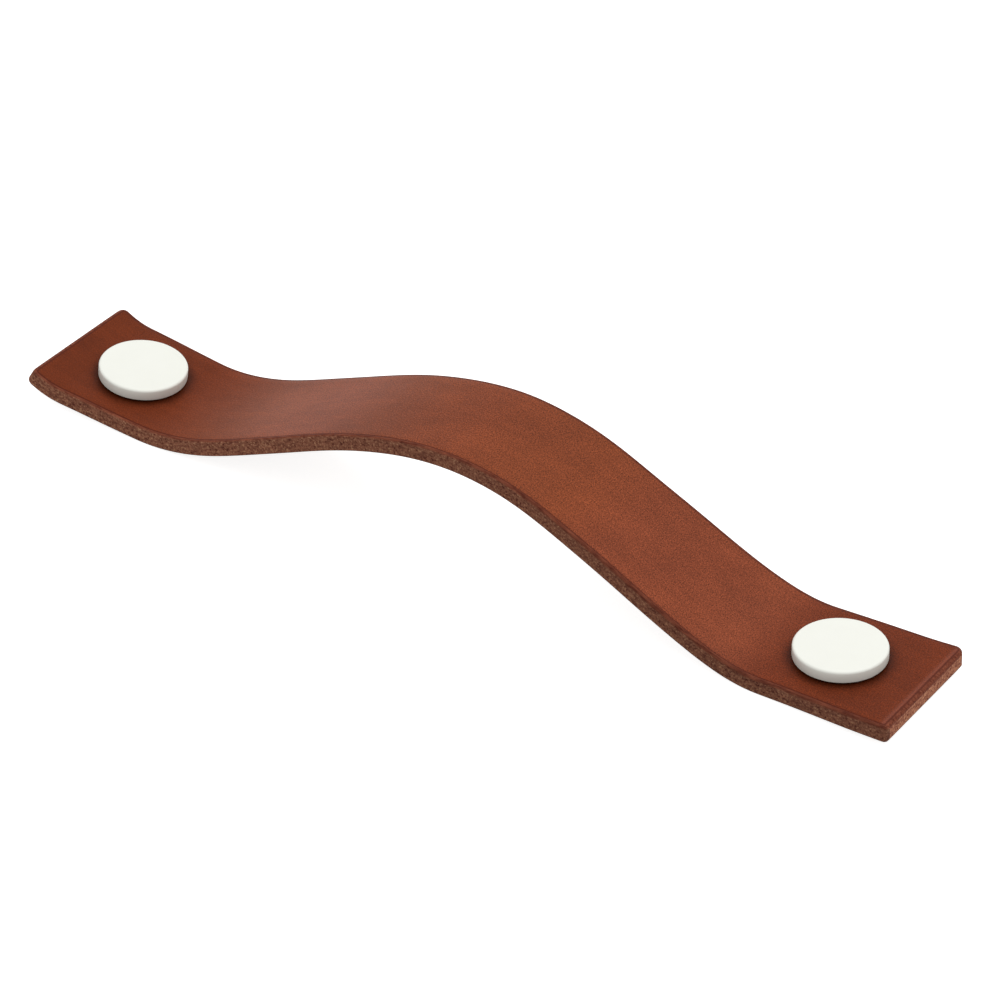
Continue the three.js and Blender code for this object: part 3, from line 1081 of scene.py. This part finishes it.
# %% [markdown]
# ## The buttons
# Each button is taken to be turned from steel and coated white. Spinning a curve could make it,
# but a table of radius and height against angle describes all of it, even the thread: in the screw
# hole the radius also depends on the angle, which winds the groove into a helix. The screw hole and
# the thread are hidden in the photograph, and are made as such buttons have them.

# %% Sizes of a button, in mm
HEAD_HEIGHT = 2.15
HEAD_TOP_RADIUS = 0.45
HEAD_FOOT_RADIUS = 0.25
SHANK_EDGE_RADIUS = 0.2
MOUTH_CHAMFER = 0.15
SCREW_DIAMETER = 4.0
SCREW_PITCH = 0.7
SHANK_SETBACK = 0.5
CAP_WALL = 0.8
DRILL_POINT_SLOPE = 31.0
BORE_RADIUS = (SCREW_DIAMETER - SCREW_PITCH) / 2
TURN_COLUMNS = 128
ROWS_TO_A_PITCH = 12
print("screw hole in mm:", round(2 * BORE_RADIUS, 2), "across, for a screw of", SCREW_DIAMETER)


# %% The profile of a button
def quarter_round(centre_r, centre_z, radius, first_angle, steps=7):
    """Radius and height at even steps of a quarter circle."""
    turn = np.radians(first_angle) + np.linspace(0, np.pi / 2, steps)
    return np.stack([centre_r + radius * np.cos(turn), centre_z + radius * np.sin(turn)], axis=-1)


def thread_rows(shank_end, bore_end):
    """Rows down the wall of the screw hole, twelve to a pitch, from its bottom to its mouth."""
    height = np.arange(bore_end, shank_end + SHANK_EDGE_RADIUS, -SCREW_PITCH / ROWS_TO_A_PITCH)
    return np.stack([np.full(len(height), BORE_RADIUS), height], axis=-1)


def button_profile():
    """Radius and height of the outline from the drill point to the top, and its threaded rows."""
    foot = STRAP_THICKNESS / 2 + FIT_CLEARANCE
    top = foot + HEAD_HEIGHT
    shank_end = -STRAP_THICKNESS / 2 + SHANK_SETBACK
    tip = top - CAP_WALL
    bore_end = tip - BORE_RADIUS * math.tan(math.radians(DRILL_POINT_SLOPE))
    head = BUTTON_DIAMETER / 2
    thread = thread_rows(shank_end, bore_end)
    half_cone = np.array([[BORE_RADIUS / 2, (tip + bore_end) / 2]])
    screw = SCREW_DIAMETER / 2
    mouth = np.array([[screw, shank_end + MOUTH_CHAMFER], [screw + MOUTH_CHAMFER, shank_end]])
    edge = SHANK_EDGE_RADIUS
    shank_edge = quarter_round(SHANK_RADIUS - edge, shank_end + edge, edge, -90, 4)
    underside = np.array([[SHANK_RADIUS, foot], [(SHANK_RADIUS + head) / 2, foot]])
    low_round, high_round = HEAD_FOOT_RADIUS, HEAD_TOP_RADIUS
    head_foot = quarter_round(head - low_round, foot + low_round, low_round, -90)
    head_top = quarter_round(head - high_round, top - high_round, high_round, 0, 10)
    flat_top = np.array([[head - high_round - 0.08, top], [head * 0.6, top], [head * 0.2, top]])
    rows = [half_cone, thread, mouth, shank_edge, underside, head_foot, head_top, flat_top]
    threaded = np.concatenate([np.full(len(part), part is thread) for part in rows])
    return np.concatenate(rows), threaded, tip, top


# %% A button as a surface turned about its axis
def button_mesh():
    """Points about the button's axis, and the faces of its closed skin.

    In words: every profile row goes once round the axis. A threaded row moves out by a triangle
    wave of its height less the share of the turn, so that the groove climbs one pitch in a turn.
    """
    profile, threaded, tip, top = button_profile()
    turn = np.linspace(0, 2 * np.pi, TURN_COLUMNS, endpoint=False)
    radius = np.repeat(profile[:, :1], TURN_COLUMNS, axis=1)
    height = np.repeat(profile[:, 1:], TURN_COLUMNS, axis=1)
    phase = np.mod(height / SCREW_PITCH - turn / (2 * np.pi), 1)
    groove = (SCREW_DIAMETER / 2 - BORE_RADIUS) * (1 - np.abs(2 * phase - 1))
    radius = radius + groove * threaded[:, None]
    skin = np.stack([radius * np.cos(turn), radius * np.sin(turn), height], axis=-1).reshape(-1, 3)
    ids = np.arange(len(skin)).reshape(radius.shape)
    ids = np.concatenate([ids, ids[:, :1]], axis=1)
    low_pole, high_pole = len(skin), len(skin) + 1
    points = np.concatenate([skin, [[0, 0, tip], [0, 0, top]]])
    low_fan = np.stack([ids[0, 1:], ids[0, :-1], np.full(TURN_COLUMNS, low_pole)], axis=-1)
    high_fan = np.stack([ids[-1, :-1], ids[-1, 1:], np.full(TURN_COLUMNS, high_pole)], axis=-1)
    return points, quads(ids).tolist() + low_fan.tolist() + high_fan.tolist()


# %% [markdown]
# ### The coat: white polyester powder, baked on
# Powder melts into a thick, nearly matt film. It has a fine orange peel of about 0.7 mm that only
# shows where light glances off it, and a colour that is a little warm. It hides the metal.

# %% Powder coat
PEEL_SIZE = 0.7
COAT_CLOUD_SIZE = 5.0
FOOT_SHADE = 0.76


def white_powder_coat():
    """A warm white film with a shallow orange peel, painted darker towards the head's foot.

    The darker foot isn't a fact about the coat. The sides in the photograph darken more than the
    light of this studio makes them, and the paint makes up for that.
    """
    material, tree = new_material("white_powder_coat")
    turned = add_node(tree, "ShaderNodeAttribute", {"attribute_name": "turned"}, None, "Vector")
    height = add_node(tree, "ShaderNodeSeparateXYZ", None, {"Vector": turned}, "Z")
    foot = STRAP_THICKNESS / 2 + FIT_CLEARANCE
    foot_shade = add_node(
        tree, "ShaderNodeMapRange", None,
        {"Value": height, "From Min": foot, "From Max": foot + HEAD_HEIGHT,
         "To Min": FOOT_SHADE, "To Max": 1.0},
        "Result",
    )
    place = add_node(tree, "ShaderNodeTexCoord", None, None, "Object")
    peel = add_node(
        tree, "ShaderNodeTexNoise", None,
        {"Vector": place, "Scale": 1 / (PEEL_SIZE * MM), "Detail": 2.0}, "Fac",
    )
    cloud = add_node(
        tree, "ShaderNodeTexNoise", None,
        {"Vector": place, "Scale": 1 / (COAT_CLOUD_SIZE * MM), "Detail": 2.0}, "Fac",
    )
    white = add_node(
        tree, "ShaderNodeMix", {"data_type": "RGBA"},
        {"Factor": cloud, "A": linear("#ECEDE4"), "B": linear("#F0F1E9")}, "Result",
    )
    colour = add_node(
        tree, "ShaderNodeVectorMath", {"operation": "SCALE"},
        {0: white, "Scale": foot_shade}, "Vector",
    )
    bump = add_node(
        tree, "ShaderNodeBump", None,
        {"Height": peel, "Strength": 0.25, "Distance": 0.02 * MM}, "Normal",
    )
    shader = add_node(
        tree, "ShaderNodeBsdfPrincipled", None,
        {"Base Color": colour, "Roughness": 0.5, "IOR": 1.5, "Normal": bump}, "BSDF",
    )
    add_node(tree, "ShaderNodeOutputMaterial", None, {"Surface": shader})
    return material


# %% Seat the buttons
BUTTON_POINTS, BUTTON_FACES = button_mesh()
COAT = white_powder_coat()


def seated(points, hole):
    """Moves points about a button's axis to its seat, which is straight leather round the hole."""
    return bent(points + np.array([hole, 0, 0]))


for name, hole in (("left_button", -LEFT["hole"]), ("right_button", RIGHT["hole"])):
    zones = np.zeros(len(BUTTON_FACES), int)
    button = new_piece(name + "_coated", seated(BUTTON_POINTS, hole), BUTTON_FACES, zones, [COAT])
    keep_vectors(button, "turned", BUTTON_POINTS)
    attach(button, "root")
    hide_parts(name)

# %% [markdown]
# ## The studio
# The handle lies on a white table under a big soft lamp. The table is a plain sheet that the
# camera sees as white wherever nothing shades it: its material adds light of its own for camera,
# glossy and transmission rays only, so it doesn't brighten the leather, and shadows stay on it.

# %% Table
TABLE_HALF = 3.0
TABLE_DROP = 0.05
TABLE_GREY = "#C8C8C8"
TABLE_GLOW = 0.84


def seen_directly(tree):
    """A socket that is 1 for camera, glossy and transmission rays, and 0 for scattered light."""
    rays = add_node(tree, "ShaderNodeLightPath").outputs
    mirrored = add_node(
        tree, "ShaderNodeMath", {"operation": "MAXIMUM"},
        {0: rays["Is Glossy Ray"], 1: rays["Is Transmission Ray"]}, "Value",
    )
    return add_node(
        tree, "ShaderNodeMath", {"operation": "MAXIMUM"},
        {0: rays["Is Camera Ray"], 1: mirrored}, "Value",
    )


def white_table():
    """Diffuse white, with a glow that only the camera and mirrors see."""
    material, tree = new_material("white_table")
    glow = add_node(
        tree, "ShaderNodeMath", {"operation": "MULTIPLY"},
        {0: seen_directly(tree), 1: TABLE_GLOW}, "Value",
    )
    lit = add_node(tree, "ShaderNodeBsdfDiffuse", None, {"Color": linear(TABLE_GREY)}, "BSDF")
    own = add_node(
        tree, "ShaderNodeEmission", None, {"Color": (1, 1, 1, 1), "Strength": glow}, "Emission"
    )
    both = add_node(tree, "ShaderNodeAddShader", None, {0: lit, 1: own}, "Shader")
    add_node(tree, "ShaderNodeOutputMaterial", None, {"Surface": both})
    return material


corners = np.array([[-1, -1, 0], [1, -1, 0], [1, 1, 0], [-1, 1, 0]]) * TABLE_HALF / MM
table_points = corners - [0, 0, TABLE_DROP]
table = new_piece("table_top", table_points, [[0, 1, 2, 3]], [0], [white_table()])

# %% [markdown]
# The sky fills in from all sides, as the white walls of a photographer's tent do. A picture of a
# studio could do it, but one plain white is enough: full to the camera, and dimmer as a light.

# %% Sky
SKY_LIGHT = 0.74


def studio_sky():
    """White for camera, glossy and transmission rays, and a plain dim white as light."""
    world = bpy.data.worlds.new("studio_sky")
    world.use_nodes = True
    tree = world.node_tree
    tree.nodes.clear()
    strength = add_node(
        tree, "ShaderNodeMapRange", None,
        {"Value": seen_directly(tree), "To Min": SKY_LIGHT, "To Max": 1.0}, "Result",
    )
    glow = add_node(
        tree, "ShaderNodeBackground", None,
        {"Color": (1, 1, 1, 1), "Strength": strength}, "Background",
    )
    add_node(tree, "ShaderNodeOutputWorld", None, {"Surface": glow})
    bpy.context.scene.world = world
    print("sky lights at", SKY_LIGHT, "of white")


studio_sky()

# %% [markdown]
# One big soft lamp hangs over the handle, a little behind it and to the right. A small lamp or a
# sun would draw hard shadows that the photograph doesn't have. Its strength is worked out from its
# distance and size, so that lamp and sky together show a colour about as it is written.

# %% Lamp
LAMP_SIZE = 0.9
LAMP_PLACE = (0.1, 0.25, 0.9)
LAMP_LIGHT = 0.44


def soft_lamp(name, place, size, share):
    """A square lamp that points at the handle and lights it to this share of full white.

    In words: a small patch facing a square lamp of radiance L gets about L times the area over
    the squared distance, and a white patch shows that over pi. Watts are pi times the area times L.
    """
    lamp = bpy.data.lights.new(name, "AREA")
    lamp.size = size
    distance = Vector(place).length
    radiance = share * math.pi * distance**2 / size**2
    lamp.energy = radiance * size**2 * math.pi
    holder = bpy.data.objects.new(name, lamp)
    holder.location = place
    holder.rotation_euler = (-Vector(place)).to_track_quat("-Z", "Y").to_euler()
    bpy.context.scene.collection.objects.link(holder)
    print(name, "gives", round(lamp.energy, 1), "watts")


soft_lamp("overhead_lamp", LAMP_PLACE, LAMP_SIZE, LAMP_LIGHT)

# %% [markdown]
# ## The camera
# The photograph was taken from the right and above with a long lens. Its place was worked out from
# the handle itself: from the outline of the strap, the two round buttons and the lines of the edge.

# %% Camera
AZIMUTH, ELEVATION, ROLL = 32.66, 34.42, 1.77
DISTANCE = 732.3 * MM
TARGET = Vector((-1.40, 9.50, 0)) * MM
LENS = 151.57
SENSOR = 36.0


def photograph_camera():
    """Looks from an azimuth and an elevation at the target, turned by the roll."""
    azimuth, elevation = math.radians(AZIMUTH), math.radians(ELEVATION)
    back = Vector(
        (
            math.sin(azimuth) * math.cos(elevation),
            -math.cos(azimuth) * math.cos(elevation),
            math.sin(elevation),
        )
    )
    camera = bpy.data.objects.new("camera", bpy.data.cameras.new("camera"))
    camera.data.lens = LENS
    camera.data.sensor_fit = "HORIZONTAL"
    camera.data.sensor_width = SENSOR
    camera.data.clip_end = 20
    camera.location = TARGET + back * DISTANCE
    turn = back.to_track_quat("Z", "Y").to_matrix()
    roll = Matrix.Rotation(math.radians(ROLL), 3, "Z")
    camera.rotation_euler = (turn @ roll).to_euler()
    bpy.context.scene.collection.objects.link(camera)
    bpy.context.scene.camera = camera
    print("camera at", [round(part, 3) for part in camera.location], "m")


photograph_camera()
bpy.context.scene.view_settings.view_transform = "Standard"
